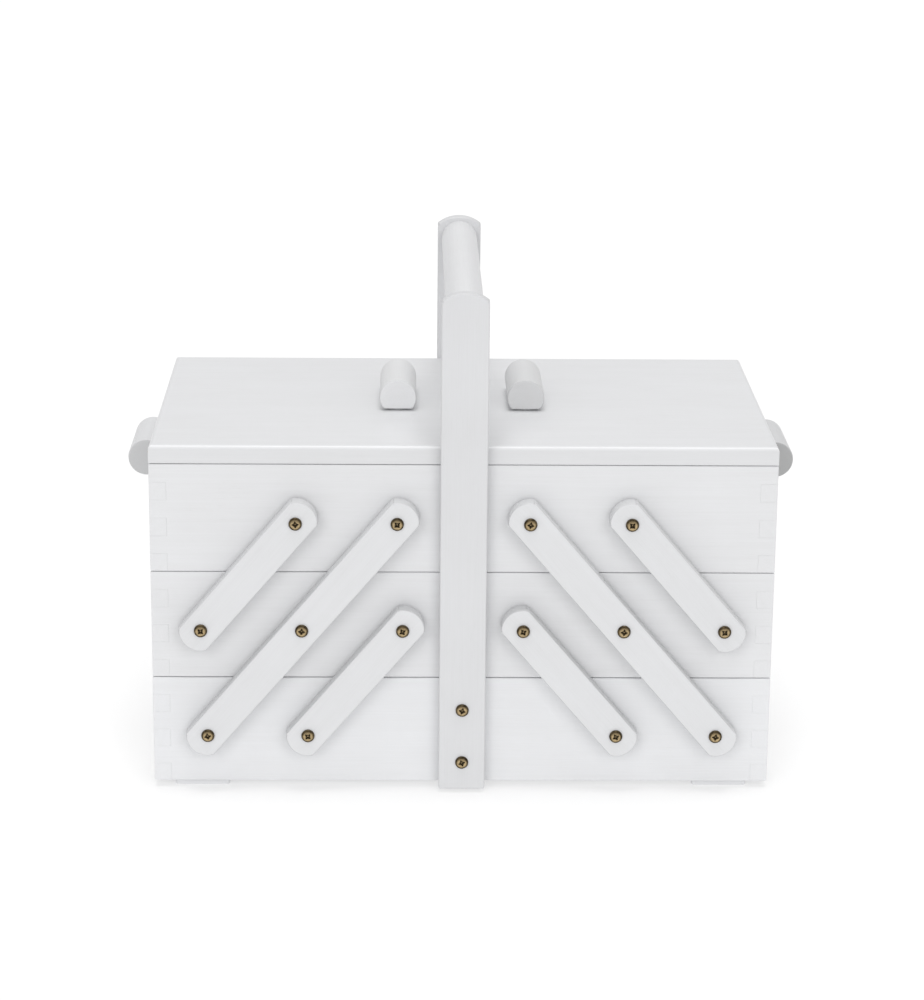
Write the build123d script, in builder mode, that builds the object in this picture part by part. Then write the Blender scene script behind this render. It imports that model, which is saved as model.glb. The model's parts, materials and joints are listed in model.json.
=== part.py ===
from build123d import *

import os
from math import hypot, sqrt

# Cantilever sewing box of painted wood: a base tray, two pairs of trays above it that swing
# apart on link arms, two hinged lids and a fixed carry frame.
# Frame: origin on the floor under the middle of the box, +X to the right, +Y to the back,
# +Z up, millimetres. The left and the right half mirror each other about X = 0.

# ---- driving dimensions --------------------------------------------------------------------
box_width = 440.0
box_depth = 264.0
board = 12.0                 # thickness of every tray board
tier_pitch = 78.6            # from one tier to the next
tier_gap = 0.4               # shadow gap above each tier
tray_inset = 0.5             # upper trays are this much shallower on each face
centre_gap = 0.25            # from the middle plane to each half
foot_height = 5.0
edge_radius = 0.8            # eased edges of the boards

fingers = 6                  # fingers in each corner joint
finger_play = 0.06           # glue line round a finger
panel_thickness = 4.0
rabbet = 6.0                 # how far a bottom panel reaches under the boards

lid_thickness = 13.0
lid_edge_radius = 3.0

pivot_spacing = 71.0         # between neighbouring pivots of one tray
pivot_shift = 67.0           # how far each tier's pivots lie inward of the tier below
pivot_height = 39.2          # above the underside of each tier
base_pivot_x = 180.5         # outermost pivot of the base

arm_width = 25.0
arm_thickness = 12.0
arm_end_radius = 15.6
arm_edge_radius = 1.2
washer_thickness = 1.0       # between an arm and the base
washer_radius = 5.5

screw_radius = 2.25
screw_hole_radius = 2.3
open_hole_radius = 2.6       # holes at the pivots that carry no joint
head_radius = 4.65
head_height = 2.5
head_play = 0.15             # between an arm and the screw head
screw_depth = 9.0            # thread in a board or knob

upright_width = 33.0
upright_thickness = 10.0
upright_low = 2.5
upright_top = 365.0
upright_shoulder = 6.0       # how far the rounded top falls to its corners
upright_screw_heights = (23.0, 62.5)

bar_radius = 13.5
bar_below_top = 16.5         # bar's axis below the tops of the uprights
tenon_radius = 6.0
tenon_length = 6.0

grip_radius = 13.35          # dowel of the knobs and side handles
grip_flat = 8.5              # from the dowel's axis to its flat
grip_length = 66.0
grip_edge_radius = 0.8
spacer_radius = 9.5
spacer_height = 1.3
spacer_inset = 12.5          # spacer's centre from the grip's end
glue_line = 0.05
knob_x = 46.5
handle_below_rim = 22.5

hinge_y = 85.0
hinge_length = 30.0
hinge_knuckles = 5
hinge_offset = 1.0           # pin's axis outside the end of the box
hinge_barrel_radius = 2.0
hinge_pin_radius = 0.9
hinge_bore_radius = 0.95
leaf_thickness = 1.0
leaf_reach = 10.5            # leaf's far edge from the pin's axis
leaf_near = 2.6              # leaf's near edge between its knuckles
leaf_screw_radius = 0.9
leaf_head_radius = 1.9
leaf_screw_length = 9.0

foot_size = 39.0
foot_x = 186.0
foot_inset = 5.0             # feet behind the faces of the base

# ---- derived sizes -------------------------------------------------------------------------
half_width = box_width / 2
base_face = box_depth / 2
tray_face = base_face - tray_inset
board_height = tier_pitch - tier_gap
base_z, middle_z, top_z = (foot_height + tier * tier_pitch for tier in range(3))
rim_z = top_z + board_height
lid_z = top_z + tier_pitch
lid_top = lid_z + lid_thickness
arm_back = base_face + washer_thickness
arm_front = arm_back + arm_thickness
pin_x = half_width + hinge_offset
pin_z = (rim_z + lid_z) / 2
handle_z = rim_z - handle_below_rim
grip_screws = grip_length / 2 - spacer_inset
bar_z = upright_top - bar_below_top
pilot = screw_depth + 0.5    # drilled depth of the screw holes

# Pivots as (distance from the middle plane, height), from the outermost inward
base_pivots = [(base_pivot_x - step * pivot_spacing, base_z + pivot_height) for step in (0, 1)]
middle_pivots = [
    (base_pivots[0][0] - pivot_shift + step * pivot_spacing, middle_z + pivot_height)
    for step in (1, 0, -1)
]
top_pivots = [
    (middle_pivots[step][0] - pivot_shift, top_z + pivot_height) for step in (0, 1)
]

SIDES = (("left", -1), ("right", 1))
FACES = (("front", -1), ("back", 1))


# ---- helpers -------------------------------------------------------------------------------
def save(piece, name):
    """Label a finished piece and write it as its own STEP file."""
    piece.part.label = name
    export_step(piece.part, f"parts/{name}.step")


def block(low, high, mode=Mode.ADD):
    """Box between two opposite corners, put into the piece being built."""
    size = [abs(b - a) for a, b in zip(low, high)]
    centre = tuple((a + b) / 2 for a, b in zip(low, high))
    with Locations(centre):
        Box(*size, mode=mode)


def outward(axis, sign, point):
    """Plane at a point whose normal points along plus or minus the named axis."""
    normals = {"x": (sign, 0, 0), "y": (0, sign, 0), "z": (0, 0, sign)}
    x_dir = (0, 1, 0) if axis == "x" else (1, 0, 0)
    return Plane(origin=point, x_dir=x_dir, z_dir=normals[axis])


def face_plane(face, y):
    """Upright plane facing out of the front or back, with its own Y axis along +Z."""
    return Plane(origin=(0, face * y, 0), x_dir=(-face, 0, 0), z_dir=(0, face, 0))


def drill(planes, radius, depth):
    """Hole of the given depth into the piece being built, at each plane and against its normal."""
    with Locations(*planes):
        top = (Align.CENTER, Align.CENTER, Align.MAX)
        Cylinder(radius, depth, align=top, mode=Mode.SUBTRACT)


def pivot_planes(pivots, side, face, y):
    """Outward planes at a tray's pivots on its front or back face."""
    return [outward("y", face, (side * x, face * y, z)) for x, z in pivots]


def upright_screw_planes(face, y):
    """Outward planes at the two screws of an upright."""
    return [outward("y", face, (0, face * y, z)) for z in upright_screw_heights]


def handle_planes(side, x):
    """Outward planes at the side handle's two screws, at a distance x from the middle."""
    return [outward("x", side, (side * x, y, handle_z)) for y in (-grip_screws, grip_screws)]


def knob_planes(side, z, up=1):
    """Upward or downward planes at the two screws of a lid's knob."""
    return [outward("z", up, (side * knob_x, y, z)) for y in (-grip_screws, grip_screws)]


def leaf_screw_planes(side, half):
    """Planes at the flat heads of the hinge screws; half is 1 on the tray and -1 on the lid."""
    x = side * (pin_x - (leaf_near + leaf_reach) / 2)
    z = pin_z - half * tier_gap / 2
    rows = [hinge * hinge_y + end * hinge_length / 3 for hinge in (-1, 1) for end in (-1, 1)]
    return [outward("z", half, (x, y, z)) for y in rows]


def half_span(side):
    """Low and high X of one half of the box."""
    return sorted((side * centre_gap, side * half_width))


# ---- fasteners -----------------------------------------------------------------------------
def pan_screw(length):
    """Cross-head screw along Z: the underside of its domed head at Z = 0, its shank below."""
    with BuildPart() as screw:
        with BuildSketch(Plane.XZ):
            with BuildLine():
                ThreePointArc(
                    (head_radius, head_height / 3),
                    (0.6 * head_radius, 0.82 * head_height),
                    (0, head_height),
                )
                Polyline(
                    (0, head_height), (0, -length), (screw_radius / 3, -length),
                    (screw_radius, -length + 2 * screw_radius), (screw_radius, 0),
                    (head_radius, 0), (head_radius, head_height / 3),
                )
            make_face()
        revolve(axis=Axis.Z)
        for turn in (0, 90):
            with Locations(Location((0, 0, head_height), (0, 0, turn))):
                Box(head_radius, head_radius / 5, head_height, mode=Mode.SUBTRACT)
    return screw.part


def leaf_screw(play=0.0):
    """Countersunk hinge screw along Z with its flat head at Z = 0; play widens it to a hole."""
    with BuildPart() as screw:
        with Locations((0, 0, -leaf_thickness / 2)):
            Cone(leaf_screw_radius + play, leaf_head_radius + play, leaf_thickness)
        with Locations((0, 0, -leaf_screw_length / 2)):
            Cylinder(leaf_screw_radius + play, leaf_screw_length)
    return screw.part


def washer(thickness):
    """Flat washer standing on Z = 0."""
    with BuildPart() as ring:
        with BuildSketch():
            Circle(washer_radius)
            Circle(screw_hole_radius, mode=Mode.SUBTRACT)
        extrude(amount=thickness)
    return ring.part


def add_pivot_screws(pivots, side, y):
    """Pivot screws through the arms into both faces of a tray, and a washer behind each arm."""
    gap = arm_back - y
    screw = pan_screw(head_play + arm_thickness + gap + screw_depth)
    ring = washer(gap)
    for _, face in FACES:
        with Locations(*pivot_planes(pivots, side, face, arm_front + head_play)):
            add(screw)
        with Locations(*pivot_planes(pivots, side, face, y)):
            add(ring)


# ---- tray boards ---------------------------------------------------------------------------
def tray_block(span, depth, z):
    """Whole outline of a tray as one solid with eased edges, ready to be cut down to a board."""
    block((span[0], -depth, z), (span[1], depth, z + board_height))
    fillet(edges(), edge_radius)


def cut_fingers(x_span, y_span, z, first):
    """Cut every second finger, counted from the top, out of a board's end."""
    pitch = board_height / fingers
    for finger in range(first, fingers, 2):
        high = z + board_height - finger * pitch + finger_play / 2
        low = high - pitch - finger_play
        block((x_span[0], y_span[0], low), (x_span[1], y_span[1], high), Mode.SUBTRACT)


def cut_rabbet(span, depth, z):
    """Cut the rabbet that takes the bottom panel, flush with the undersides of the boards."""
    reach = board - rabbet - glue_line
    block(
        (span[0] + reach, reach - depth, z),
        (span[1] - reach, depth - reach, z + panel_thickness + glue_line),
        Mode.SUBTRACT,
    )


def long_board(span, depth, face, z):
    """Front or back board of a tray, with its end fingers and rabbet."""
    with BuildPart() as piece:
        tray_block(span, depth, z)
        y_span = sorted((face * depth, face * (depth - board)))
        block((span[0], y_span[0], z), (span[1], y_span[1], z + board_height), Mode.INTERSECT)
        for end, inward in ((span[0], 1), (span[1], -1)):
            cut_fingers(sorted((end, end + inward * (board + finger_play))), y_span, z, 1)
        cut_rabbet(span, depth, z)
    return piece


def end_board(span, end, depth, z):
    """End board of a tray, at the low (0) or high (1) end of its X span."""
    inward = 1 - 2 * end
    x_span = sorted((span[end], span[end] + inward * board))
    with BuildPart() as piece:
        tray_block(span, depth, z)
        block((x_span[0], -depth, z), (x_span[1], depth, z + board_height), Mode.INTERSECT)
        for _, face in FACES:
            y_span = sorted((face * depth, face * (depth - board - finger_play)))
            cut_fingers(x_span, y_span, z, 0)
        cut_rabbet(span, depth, z)
    return piece


def bottom_panel(span, depth, z):
    """Thin panel let into the rabbets of a tray."""
    reach = board - rabbet
    with BuildPart() as panel:
        block(
            (span[0] + reach, reach - depth, z),
            (span[1] - reach, depth - reach, z + panel_thickness),
        )
    return panel


# ---- base and carry frame ------------------------------------------------------------------
def build_base():
    """Base tray with its feet and all the screws that go into it."""
    span = (-half_width, half_width)
    for name, face in FACES:
        piece = long_board(span, base_face, face, base_z)
        with piece:
            for _, side in SIDES:
                drill(pivot_planes(base_pivots, side, face, base_face), screw_hole_radius, pilot)
            drill(upright_screw_planes(face, base_face), screw_hole_radius, pilot)
        save(piece, f"base_{name}_board")
    for end, (name, _) in enumerate(SIDES):
        save(end_board(span, end, base_face, base_z), f"base_{name}_end")
    save(bottom_panel(span, base_face, base_z), "base_bottom_panel")

    with BuildPart() as feet:
        y = base_face - foot_inset - foot_size / 2
        with Locations(*((i * foot_x, j * y, foot_height / 2) for i in (-1, 1) for j in (-1, 1))):
            Box(foot_size, foot_size, foot_height)
        fillet(feet.edges().filter_by(Axis.Z), edge_radius)
    save(feet, "feet")

    with BuildPart() as screws:
        for _, side in SIDES:
            add_pivot_screws(base_pivots, side, base_face)
        frame_screw = pan_screw(upright_thickness + screw_depth)
        for _, face in FACES:
            with Locations(*upright_screw_planes(face, base_face + upright_thickness)):
                add(frame_screw)
    save(screws, "base_screws")


def build_carry_frame():
    """Two uprights screwed to the base, and the dowel that their blind holes hold by its ends."""
    half = upright_width / 2
    shoulder = upright_top - upright_shoulder
    for name, face in FACES:
        with BuildPart() as upright:
            with BuildSketch(face_plane(face, base_face)):
                with BuildLine():
                    Polyline(
                        (-half, shoulder), (-half, upright_low),
                        (half, upright_low), (half, shoulder),
                    )
                    ThreePointArc((half, shoulder), (0, upright_top), (-half, shoulder))
                make_face()
            extrude(amount=upright_thickness)
            fillet(upright.faces().filter_by(Axis.Y).edges(), edge_radius)
            outer = base_face + upright_thickness
            drill(upright_screw_planes(face, outer), screw_hole_radius, upright_thickness)
            drill([outward("y", -face, (0, face * base_face, bar_z))], tenon_radius, tenon_length)
        save(upright, f"{name}_upright")

    with BuildPart() as bar:
        with Locations(Location((0, 0, bar_z), (90, 0, 0))):
            Cylinder(bar_radius, 2 * base_face)
            Cylinder(tenon_radius - glue_line, 2 * (base_face + tenon_length - glue_line))
    save(bar, "carry_bar")


# ---- link arms -----------------------------------------------------------------------------
def arm(face, side, holes):
    """Link arm between its first and last hole: a flat bar whose ends are arcs about them."""
    (x_low, z_low), (x_high, z_high) = holes[0][0], holes[-1][0]
    along = (side * (x_high - x_low), 0, z_high - z_low)
    middle = (side * (x_low + x_high) / 2, face * arm_back, (z_low + z_high) / 2)
    half, reach = arm_width / 2, hypot(*along) / 2
    corner = reach + sqrt(arm_end_radius**2 - half**2)
    tip = reach + arm_end_radius
    with BuildPart() as piece:
        with BuildSketch(Plane(origin=middle, x_dir=along, z_dir=(0, face, 0))):
            with BuildLine():
                for end in (-1, 1):
                    Line((-corner, end * half), (corner, end * half))
                    ThreePointArc((end * corner, -half), (end * tip, 0), (end * corner, half))
            make_face()
        extrude(amount=arm_thickness)
        fillet(piece.faces().filter_by(Axis.Y).edges(), arm_edge_radius)
        for (x, z), radius in holes:
            drill([outward("y", face, (side * x, face * arm_front, z))], radius, arm_thickness)
    return piece


def build_arms():
    """Long, lower short and upper short arms on both faces of both halves."""
    running, free = screw_hole_radius, open_hole_radius
    long_holes = [(base_pivots[0], running), (middle_pivots[1], running), (top_pivots[1], running)]
    lower_holes = [(base_pivots[1], running), (middle_pivots[2], free)]
    upper_holes = [(middle_pivots[0], running), (top_pivots[0], free)]
    kinds = {"long_arm": long_holes, "lower_arm": lower_holes, "upper_arm": upper_holes}
    for side_name, side in SIDES:
        for face_name, face in FACES:
            for kind, holes in kinds.items():
                save(arm(face, side, holes), f"{side_name}_{face_name}_{kind}")


# ---- hinges --------------------------------------------------------------------------------
def hinge_halves(side, half):
    """Tray (1) or lid (-1) halves of the two hinges of one lid: a leaf with rolled knuckles."""
    knuckle = hinge_length / hinge_knuckles
    own = range(0, hinge_knuckles, 2) if half > 0 else range(1, hinge_knuckles, 2)
    leaf_low = pin_z - half * tier_gap / 2
    leaf_high = leaf_low - half * leaf_thickness
    with BuildPart() as leaves:
        for hinge in (-1, 1):
            start = hinge * hinge_y - hinge_length / 2
            block(
                (side * (pin_x - leaf_near), start, leaf_low),
                (side * (pin_x - leaf_reach), start + hinge_length, leaf_high),
            )
            for step in own:
                low, high = start + step * knuckle + 0.15, start + (step + 1) * knuckle - 0.15
                block((side * pin_x, low, leaf_low), (side * (pin_x - leaf_near), high, leaf_high))
                with Locations(Location((side * pin_x, (low + high) / 2, pin_z), (90, 0, 0))):
                    Cylinder(hinge_barrel_radius, high - low)
        with Locations(Location((side * pin_x, 0, pin_z), (90, 0, 0))):
            Cylinder(hinge_bore_radius, box_depth, mode=Mode.SUBTRACT)
        with Locations(*leaf_screw_planes(side, half)):
            add(leaf_screw(glue_line), mode=Mode.SUBTRACT)
    return leaves


def cut_hinge_seats(side, half):
    """Cut the shallow seats of the leaves, the clearance for the barrels and the pilot holes."""
    z = pin_z - half * (tier_gap / 2 + leaf_thickness + glue_line)
    barrel_z = pin_z - half * (hinge_barrel_radius + 0.4)
    beyond = pin_z + half * tier_gap
    for hinge in (-1, 1):
        low = hinge * hinge_y - hinge_length / 2 - 0.3
        high = hinge * hinge_y + hinge_length / 2 + 0.3
        block(
            (side * (pin_x + 1), low, z),
            (side * (pin_x - leaf_reach - glue_line), high, beyond),
            Mode.SUBTRACT,
        )
        block(
            (side * (pin_x + 1), low, barrel_z),
            (side * (pin_x - hinge_barrel_radius - 0.4), high, beyond),
            Mode.SUBTRACT,
        )
    with Locations(*leaf_screw_planes(side, half)):
        add(leaf_screw(glue_line), mode=Mode.SUBTRACT)


def hinge_pins(side):
    """Pins of the two hinges of one lid."""
    with BuildPart() as pins:
        with Locations(*(Location((side * pin_x, i * hinge_y, pin_z), (90, 0, 0)) for i in (-1, 1))):
            Cylinder(hinge_pin_radius, hinge_length)
    return pins


# ---- grips ---------------------------------------------------------------------------------
def grip():
    """Flat-backed dowel along Y on two round spacers that stand on Z = 0, with screw holes."""
    ends = (-grip_screws, grip_screws)
    with BuildPart() as dowel:
        with Locations(Location((0, 0, spacer_height + grip_flat), (90, 0, 0))):
            Cylinder(grip_radius, grip_length)
        wide = 2 * grip_radius
        block((-wide, -grip_length, spacer_height - wide), (wide, grip_length, spacer_height),
              Mode.SUBTRACT)
        fillet(dowel.faces().filter_by(Axis.Y).edges(), grip_edge_radius)
        drill([outward("z", -1, (0, y, spacer_height)) for y in ends], screw_hole_radius, pilot)
        with Locations(*((0, y, 0) for y in ends)):
            add(spacer())
    return dowel.part


def spacer():
    """Round spacer standing on Z = 0, with a glue line left above it."""
    with BuildPart() as disc:
        with BuildSketch():
            Circle(spacer_radius)
            Circle(screw_hole_radius, mode=Mode.SUBTRACT)
        extrude(amount=spacer_height - glue_line)
    return disc.part


# ---- middle trays, top trays and lids ------------------------------------------------------
def build_tray(prefix, side, z, pivots):
    """Four boards and the bottom panel of one swinging tray; returns its outer end board."""
    span = half_span(side)
    for name, face in FACES:
        piece = long_board(span, tray_face, face, z)
        with piece:
            drill(pivot_planes(pivots, side, face, tray_face), screw_hole_radius, pilot)
        save(piece, f"{prefix}_{name}_board")
    outer_end = 0 if side < 0 else 1
    save(end_board(span, 1 - outer_end, tray_face, z), f"{prefix}_inner_end")
    save(bottom_panel(span, tray_face, z), f"{prefix}_bottom_panel")
    return end_board(span, outer_end, tray_face, z)


def build_middle_tray(name, side):
    """Middle tray of one half, with its pivot screws."""
    prefix = f"{name}_middle"
    save(build_tray(prefix, side, middle_z, middle_pivots), f"{prefix}_outer_end")
    with BuildPart() as screws:
        add_pivot_screws(middle_pivots, side, tray_face)
    save(screws, f"{prefix}_screws")


def build_top_tray(name, side):
    """Top tray of one half, with its side handle, hinge halves, hinge pins and screws."""
    prefix = f"{name}_top"
    outer_end = build_tray(prefix, side, top_z, top_pivots)
    with outer_end:
        drill(handle_planes(side, half_width), screw_hole_radius, board)
        cut_hinge_seats(side, 1)
    save(outer_end, f"{prefix}_outer_end")

    inner_face = half_width - board
    with BuildPart() as screws:
        add_pivot_screws(top_pivots, side, tray_face)
        with Locations(*(outward("x", -side, p.origin) for p in handle_planes(side, inner_face))):
            add(pan_screw(board + spacer_height + screw_depth))
        with Locations(*leaf_screw_planes(side, 1)):
            add(leaf_screw())
    save(screws, f"{prefix}_screws")

    seat = Plane(origin=(side * half_width, 0, handle_z), x_dir=(0, 0, -side), z_dir=(side, 0, 0))
    with BuildPart() as handle:
        with Locations(seat):
            add(grip())
    save(handle, f"{name}_side_handle")
    save(hinge_halves(side, 1), f"{name}_hinge_tray_leaves")
    save(hinge_pins(side), f"{name}_hinge_pins")


def build_lid(name, side):
    """Lid of one half, with its knob, hinge halves and screws."""
    span = half_span(side)
    with BuildPart() as lid:
        block((span[0], -tray_face, lid_z), (span[1], tray_face, lid_top))
        top = lid.faces().sort_by(Axis.Z)[-1].edges()
        seam = top.sort_by(lambda edge: abs(edge.center().X))[0]
        rounded = [edge for edge in top if edge is not seam]
        fillet(rounded, lid_edge_radius)
        fillet(lid.faces().sort_by(Axis.Z)[0].edges(), edge_radius)
        drill(knob_planes(side, lid_top), screw_hole_radius, lid_thickness)
        cut_hinge_seats(side, -1)
    save(lid, f"{name}_lid")

    with BuildPart() as knob:
        with Locations((side * knob_x, 0, lid_top)):
            add(grip())
    save(knob, f"{name}_lid_knob")

    with BuildPart() as screws:
        with Locations(*knob_planes(side, lid_z, -1)):
            add(pan_screw(lid_thickness + spacer_height + screw_depth))
        with Locations(*leaf_screw_planes(side, -1)):
            add(leaf_screw())
    save(screws, f"{name}_lid_screws")
    save(hinge_halves(side, -1), f"{name}_hinge_lid_leaves")


if __name__ == "__main__":
    os.makedirs("parts", exist_ok=True)
    build_base()
    build_carry_frame()
    build_arms()
    for side_name, side_sign in SIDES:
        build_middle_tray(side_name, side_sign)
        build_top_tray(side_name, side_sign)
        build_lid(side_name, side_sign)
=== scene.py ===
import json
import math

import bpy
import numpy as np
from mathutils import Matrix, Vector


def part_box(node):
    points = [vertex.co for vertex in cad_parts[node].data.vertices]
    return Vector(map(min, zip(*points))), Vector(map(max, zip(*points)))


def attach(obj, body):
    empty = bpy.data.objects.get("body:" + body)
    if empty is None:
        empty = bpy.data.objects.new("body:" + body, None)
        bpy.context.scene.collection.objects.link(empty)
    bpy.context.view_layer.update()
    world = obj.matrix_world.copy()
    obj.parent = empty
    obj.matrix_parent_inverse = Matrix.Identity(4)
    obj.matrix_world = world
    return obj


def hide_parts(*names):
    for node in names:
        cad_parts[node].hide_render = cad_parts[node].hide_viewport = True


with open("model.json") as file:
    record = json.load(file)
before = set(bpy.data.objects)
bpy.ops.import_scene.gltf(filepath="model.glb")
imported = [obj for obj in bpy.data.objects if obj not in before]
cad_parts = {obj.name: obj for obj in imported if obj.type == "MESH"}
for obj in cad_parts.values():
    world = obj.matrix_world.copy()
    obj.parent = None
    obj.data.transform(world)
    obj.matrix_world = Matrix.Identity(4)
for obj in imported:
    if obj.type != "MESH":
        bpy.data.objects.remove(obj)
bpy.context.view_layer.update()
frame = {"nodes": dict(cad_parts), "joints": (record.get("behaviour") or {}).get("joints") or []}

# Looks of a white painted wooden sewing box with brass fittings, in metres, in the CAD's frame.
# Finger-jointed boards, bottom panels and lids keep their CAD shape. Arms, uprights, dowels,
# feet, screws and hinges are made again here with smooth rounded edges and fine detail.

MM = 0.001
X, Y, Z = Vector((1, 0, 0)), Vector((0, 1, 0)), Vector((0, 0, 1))
SIDES = (("left", -1), ("right", 1))
FACES = (("front", -1), ("back", 1))

# ---- driving sizes of the rounded pieces ----------------------------------------------------
ARM_WIDTH = 25 * MM
ARM_END_RADIUS = 15.6 * MM
ARM_CORNER = 2.5 * MM            # where an arm's end arc runs into its straight edge
ARM_EDGE = 0.9 * MM              # eased edge round each face
UPRIGHT_EDGE = 1.0 * MM
UPRIGHT_SHOULDER = 6 * MM        # fall of the rounded top to its corners
UPRIGHT_CORNER = 1.6 * MM
BAR_EDGE = 0.3 * MM
GRIP_RADIUS = 13.35 * MM
GRIP_FLAT = 8.5 * MM             # from the dowel's axis to its flat
GRIP_CORNER = 1.4 * MM
GRIP_EDGE = 0.9 * MM
SPACER_RADIUS = 9.5 * MM
SPACER_HEIGHT = 1.3 * MM
SPACER_INSET = 12.5 * MM
SPACER_EDGE = 0.4 * MM
FOOT_SIZE = 39 * MM
FOOT_CORNER = 2.0 * MM
FOOT_LOW_EDGE = 0.6 * MM
FOOT_HIGH_EDGE = 0.2 * MM
HEAD_RADIUS = 4.65 * MM
HEAD_HEIGHT = 2.5 * MM
SHANK_RADIUS = 2.25 * MM
HEAD_PLAY = 0.15 * MM            # between an arm and the screw head
THREAD = 9.0 * MM                # depth of a screw in its board or knob
UPRIGHT_SCREW_STEP = 39.5 * MM
WASHER_RADIUS = 5.5 * MM
WASHER_PLAY = 0.05 * MM          # round the screw's shank
WASHER_EDGE = 0.2 * MM
HINGE_LENGTH = 30 * MM
KNUCKLES = 5
BARREL_RADIUS = 2.0 * MM
PIN_RADIUS = 0.9 * MM
LEAF_THICKNESS = 1.0 * MM
LEAF_NEAR = 2.6 * MM
LEAF_REACH = 10.5 * MM
LEAF_GAP = 0.2 * MM              # from the pin's height to the leaf's outer face
LEAF_SCREW_STEP = 10 * MM
LEAF_HEAD_RADIUS = 1.9 * MM
LEAF_HEAD_HEIGHT = 0.16 * MM
LEAF_CORNER = 1.2 * MM
LEAF_EDGE = 0.15 * MM
KNUCKLE_GAP = 0.3 * MM           # between one knuckle and the next
KNUCKLE_EDGE = 0.25 * MM
KNUCKLE_TAIL = 0.4 * MM          # how far a knuckle's tail lies over its leaf
PIN_EDGE = 0.3 * MM

# ---- fineness of the surfaces ---------------------------------------------------------------
SUPPORT = 0.25 * MM              # narrow strip that keeps a flat face flat beside a rounded edge
ARC_STEP = 6                     # degrees between points on an outline's arcs
EDGE_STEPS = 7                   # rows over a plate's rounded edge
CORNER_STEPS = 5                 # rows over a turned piece's rounded corner
SHARP_EDGE = math.radians(40)    # faces that meet at more than this don't shade into each other

# ---- wear of the paint and patina of the brass, with painted shade, from 0 to 1 -------------
RUBBED_EDGE = 0.15               # extra on the edges of plates
# Painted shade on the arms' sides, with a little thinner paint on them.
ARM_SIDE_SHADE_AND_WEAR = 0.34
LEAF_PATINA = 0.25
KNUCKLE_PATINA = 0.4
# Darkening of each grip's ends and round its sides: partly paint sunk into the end grain and
# thin round the sides, partly painted shade, more of it on the right-hand grips
KNOB_SOAK_AND_SHADE = {"left": (0.0, 0.36), "right": (0.40, 0.50)}
HANDLE_SOAK_AND_SHADE = {"left": (0.47, 0.12), "right": (1.0, 0.33)}


# ---- surfaces -------------------------------------------------------------------------------
# A surface is its points, a list of face blocks (whole arrays of point numbers, one row for
# each face) and the wear or patina of each point, with painted shade and reflections in it.

def quads(rows, columns):
    """Quads of a grid whose columns close on themselves and whose rows do not."""
    i, j = np.meshgrid(np.arange(rows - 1), np.arange(columns), indexing="ij")
    across = (j + 1) % columns
    low, high = i * columns, (i + 1) * columns
    return np.stack([low + j, low + across, high + across, high + j], -1).reshape(-1, 4)


def outline(arcs):
    """Convex closed outline from a list of arcs (centre x, centre y, radius, from, to degrees).

    Each point is centre + radius (cos a, sin a), with a running over the arc. The next arc
    starts in the direction in which the last one ends, so a straight edge joins them, and two
    points a little way along that edge keep its shading flat. Returns points and normals.
    """
    points, normals = [], []
    for x, y, radius, start, end in arcs:
        count = max(3, int(abs(end - start) / ARC_STEP) + 1)
        angle = np.radians(np.linspace(start, end, count))
        normal = np.stack([np.cos(angle), np.sin(angle)], -1)
        point = np.array([x, y]) + radius * normal
        tangent = np.stack([-np.sin(angle), np.cos(angle)], -1)
        points += [point[:1] - SUPPORT * tangent[:1], point, point[-1:] + SUPPORT * tangent[-1:]]
        normals += [normal[:1], normal, normal[-1:]]
    points, normals = np.concatenate(points), np.concatenate(normals)
    apart = np.linalg.norm(points - np.roll(points, 1, axis=0), axis=1) > 1e-7
    forward = np.sum((points - np.roll(points, 1, axis=0)) * left_turn(normals), axis=1) > 0
    keep = apart & forward
    return points[keep], normals[keep]


def left_turn(vectors):
    """Plane vectors turned a quarter turn to the left."""
    return np.stack([-vectors[:, 1], vectors[:, 0]], -1)


def plate(arcs, thickness, low_edge, high_edge, place, face_wear_and_shade=0.0, side_wear_and_shade=0.0):
    """Flat plate with rounded edges.

    The outline is inset by e (1 - cos b) along its normals while the height is e (1 - sin b)
    from the face, with b a quarter circle, at both faces, and runs straight between them.
    place maps (x, y, height) to the frame. Wear and painted shade take the face value on the
    two faces and the side value round the sides, with a little more on the edges between them.
    """
    points, normals = outline(arcs)
    quarter = np.linspace(math.pi / 2, 0, EDGE_STEPS)
    low_inset = low_edge * (1 - np.cos(quarter))
    low_height = low_edge * (1 - np.sin(quarter))
    high_inset = high_edge * (1 - np.cos(quarter[::-1]))
    high_height = thickness - high_edge * (1 - np.sin(quarter[::-1]))
    inset = np.concatenate([
        [low_edge + SUPPORT], low_inset, [0, 0], high_inset, [high_edge + SUPPORT]
    ])
    height = np.concatenate([
        [0], low_height, [low_edge + SUPPORT, thickness - high_edge - SUPPORT],
        high_height, [thickness],
    ])
    flat = points[None] - inset[:, None, None] * normals[None]
    lift = np.broadcast_to(height[:, None, None], flat.shape[:2] + (1,))
    grid = np.concatenate([flat, lift], -1).reshape(-1, 3)
    rows, columns = len(inset), len(points)
    low_cap = np.arange(columns)[::-1]
    high_cap = (rows - 1) * columns + np.arange(columns)
    rubbed_and_shaded = RUBBED_EDGE * np.sin(2 * quarter)
    blend = np.sin(quarter) ** 4
    worn_and_shaded = rubbed_and_shaded + face_wear_and_shade * blend + side_wear_and_shade * (1 - blend)
    curve = np.concatenate([[face_wear_and_shade], worn_and_shaded, [side_wear_and_shade] * 2, worn_and_shaded[::-1], [face_wear_and_shade]])
    wear_and_painted_light = np.repeat(curve, columns)
    return transform(grid, place), [quads(rows, columns), low_cap[None], high_cap[None]], wear_and_painted_light


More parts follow.
